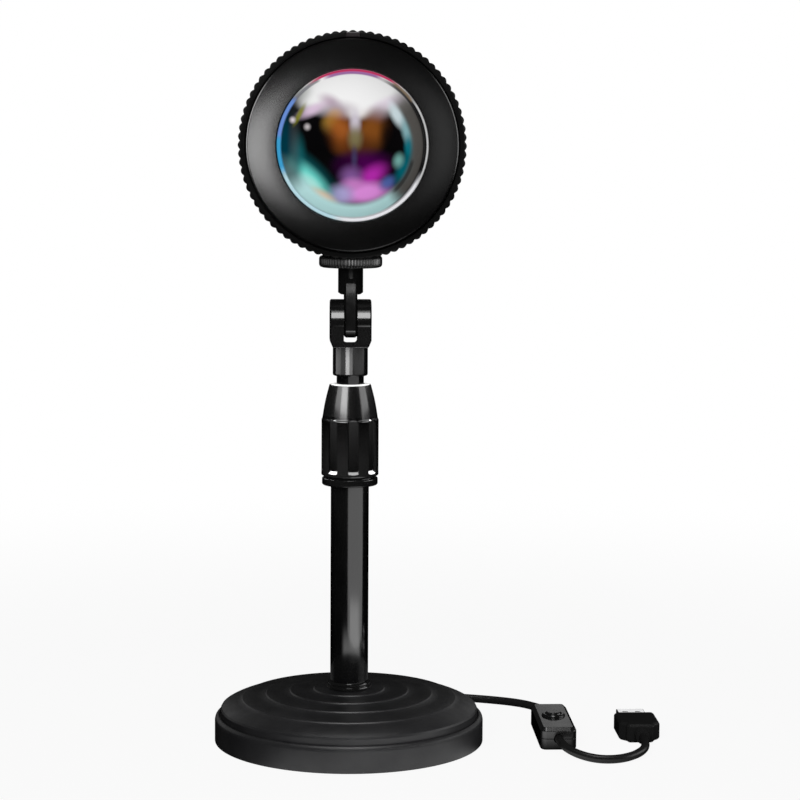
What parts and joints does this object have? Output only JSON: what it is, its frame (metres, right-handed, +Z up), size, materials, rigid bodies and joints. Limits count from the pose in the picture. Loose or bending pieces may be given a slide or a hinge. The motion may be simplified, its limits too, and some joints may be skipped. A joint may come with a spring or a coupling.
{
  "type": "sunset projection lamp",
  "caption": "Round projector head with a domed lens on a tilting fork, a telescopic mast and a weighted disc base, with a switched USB lead.",
  "frame": {"origin": "centre of the base's underside, on the mast's axis", "axes": "+Z up the mast; the lens faces -Y; +X is to the right of someone who faces the lens"},
  "size_m": [0.1884, 0.1449, 0.2967],
  "materials": {
    "foam_pad": "closed-cell foam, matt",
    "cast_iron": "rough cast",
    "base_plastic": "fine grain",
    "plain_steel": "zinc plated",
    "black_plastic": "moulded, glossy",
    "black_tube": "black gloss coat",
    "white_nylon": "natural nylon",
    "brass_insert": "turned",
    "head_plastic": "satin",
    "dark_window": "dark, passes infrared",
    "face_metal": "fine satin coat",
    "lens_glass": "coated optical glass",
    "rubber_black": "matt",
    "filter_glass": "dichroic coat",
    "emitter": "phosphor gel",
    "board_metal": "white solder mask",
    "sink_aluminium": "extruded",
    "circuit_board": "solder mask",
    "black_screw": "black oxide",
    "cord_jacket": "soft PVC",
    "switch_plastic": "glossy",
    "plug_plastic": "moulded PVC",
    "usb_steel": "nickel plated",
    "contact_brass": "gold flash"
  },
  "bodies": {
    "stand": {"base_pad": "foam_pad", "base_weight": "cast_iron", "base_dome": "base_plastic", "base_bolt": "plain_steel", "base_washer": "plain_steel", "pole_foot_ring": "black_plastic", "pole_foot_plug": "plain_steel", "outer_pole": "black_tube", "collet": "black_plastic", "cord_drop": "cord_jacket", "cord_coil": "cord_jacket", "cord_run": "cord_jacket", "cord_tail": "cord_jacket", "switch_bottom_shell": "switch_plastic", "switch_top_shell": "switch_plastic", "switch_board": "circuit_board", "switch_block": "black_plastic", "plug_strain_relief": "rubber_black", "plug_body": "plug_plastic", "usb_shell": "usb_steel", "usb_tongue": "white_nylon", "usb_contacts": "contact_brass"},
    "lock_collar": {"grip_collar": "black_plastic"},
    "carriage": {"rod_guide_bush": "white_nylon"},
    "mast": {"inner_rod": "black_tube", "rod_fork": "black_plastic", "pivot_screw": "plain_steel", "pivot_nut": "plain_steel"},
    "tilt_arm": {"tilt_tongue": "black_plastic", "mount_stud": "plain_steel"},
    "clamp_nut": {"lock_nut": "black_plastic"},
    "head": {"head_insert": "brass_insert", "head_housing": "head_plastic", "knurled_ring": "head_plastic", "ir_window": "dark_window", "face_plate": "face_metal", "lens": "lens_glass", "lens_gasket": "rubber_black", "filter_disc": "filter_glass", "light_cone": "black_plastic", "led_emitter": "emitter", "led_board": "board_metal", "led_board_screws": "plain_steel", "heat_sink": "sink_aluminium", "control_board": "circuit_board", "ir_receiver": "dark_window", "rear_cover": "head_plastic", "cover_screws": "black_screw", "head_strain_relief": "rubber_black"},
    "push_button": {"switch_button": "switch_plastic"}
  },
  "joints": [
    {"name": "collar_twist", "type": "hinge", "parent": "stand", "child": "lock_collar", "pos_m": [0, 0, 0.13], "axis": [0, 0, 1], "range_deg": [-90, 90]},
    {"name": "mast_height", "type": "slide", "parent": "stand", "child": "carriage", "axis": [0, 0, 1], "range_m": [-0.003, 0.073]},
    {"name": "mast_turn", "type": "hinge", "parent": "carriage", "child": "mast", "pos_m": [0, 0, 0.1], "axis": [0, 0, 1], "range_deg": [-180, 180]},
    {"name": "head_tilt", "type": "hinge", "parent": "mast", "child": "tilt_arm", "pos_m": [0, 0, 0.1787], "axis": [1, 0, 0], "range_deg": [-90, 90], "deforming": ["cord_drop"]},
    {"name": "clamp_nut_turn", "type": "hinge", "parent": "tilt_arm", "child": "clamp_nut", "pos_m": [0, 0, 0.2015], "axis": [0, 0, 1], "range_deg": [-180, 180]},
    {"name": "head_swivel", "type": "hinge", "parent": "tilt_arm", "child": "head", "pos_m": [0, 0, 0.21], "axis": [0, 0, 1], "range_deg": [-90, 90]},
    {"name": "button_press", "type": "slide", "parent": "stand", "child": "push_button", "axis": [0, 0, -1], "range_m": [0, 0.0012], "stiffness_N_per_m": 800, "springref_m": -0.0008}
  ]
}
